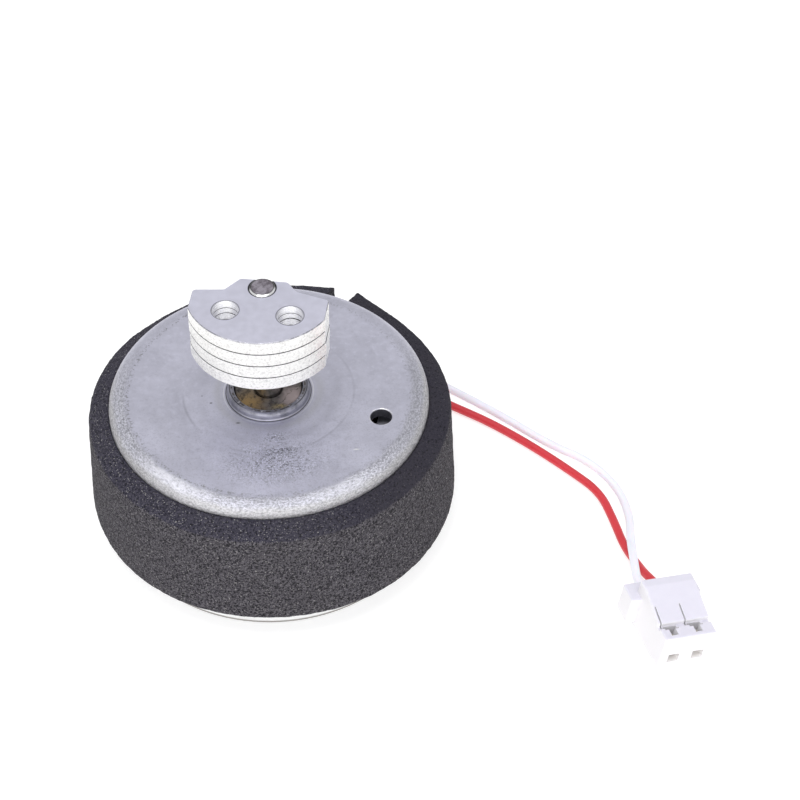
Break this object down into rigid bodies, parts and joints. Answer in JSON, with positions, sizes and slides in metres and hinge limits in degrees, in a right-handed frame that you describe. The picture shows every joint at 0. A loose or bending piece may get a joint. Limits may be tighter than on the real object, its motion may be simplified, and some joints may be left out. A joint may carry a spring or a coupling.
{
  "type": "vibration motor",
  "caption": "Flat round brushed DC vibration motor with an eccentric plate weight on its shaft, a foam wrap and two leads to a small plug.",
  "frame": {"origin": "centre of the can's open rim, on the surface that the motor stands on", "axes": "+Z along the shaft towards the eccentric weight; the leads leave at 80 degrees from +X towards +Y"},
  "size_m": [0.0459, 0.0376, 0.0235],
  "materials": {
    "can": "satin zinc plating, lavender grey",
    "bearing": "oil-soaked sintered bronze",
    "magnet": "dull ferrite",
    "spring_steel": "plain strip",
    "nylon": "natural moulded nylon",
    "terminal": "tinned brass",
    "carbon": "dull carbon",
    "solder": "bright solder",
    "foam": "matte closed-cell foam, speckled",
    "lead_white": "smooth soft insulation",
    "lead_red": "smooth soft insulation",
    "connector": "natural white, slightly translucent",
    "shaft": "ground and polished",
    "weight": "satin nickel plating",
    "core": "silicon steel laminations",
    "insulator": "moulded insulation",
    "coil": "enamelled copper wire",
    "copper": "bare copper",
    "varistor": "fired ceramic"
  },
  "bodies": {
    "housing": {"motor_can": "can", "front_bearing": "bearing", "magnet_1": "magnet", "magnet_2": "magnet", "magnet_spring": "spring_steel", "end_cap": "nylon", "rear_bearing": "bearing", "thrust_plate": "spring_steel", "terminal_a": "terminal", "terminal_b": "terminal", "brush_arm_a": "spring_steel", "brush_arm_b": "spring_steel", "brush_a": "carbon", "brush_b": "carbon", "solder_a": "solder", "solder_b": "solder", "foam_wrap": "foam", "lead_white": "lead_white", "lead_red": "lead_red", "connector_housing": "connector", "contact_a": "terminal", "contact_b": "terminal"},
    "rotor": {"shaft": "shaft", "weight_plate_1": "weight", "weight_plate_2": "weight", "weight_plate_3": "weight", "weight_plate_4": "weight", "rotor_core": "core", "insulator_front": "insulator", "insulator_rear": "insulator", "coil_1": "coil", "coil_2": "coil", "coil_3": "coil", "commutator_hub": "insulator", "commutator_segment_1": "copper", "commutator_segment_2": "copper", "commutator_segment_3": "copper", "varistor_ring": "varistor", "front_spacer": "insulator", "front_washer": "shaft", "rear_washer": "shaft"}
  },
  "joints": [
    {"name": "rotor_spin", "type": "hinge", "parent": "housing", "child": "rotor", "pos_m": [0, 0, 0], "axis": [0, 0, 1], "continuous": true}
  ]
}
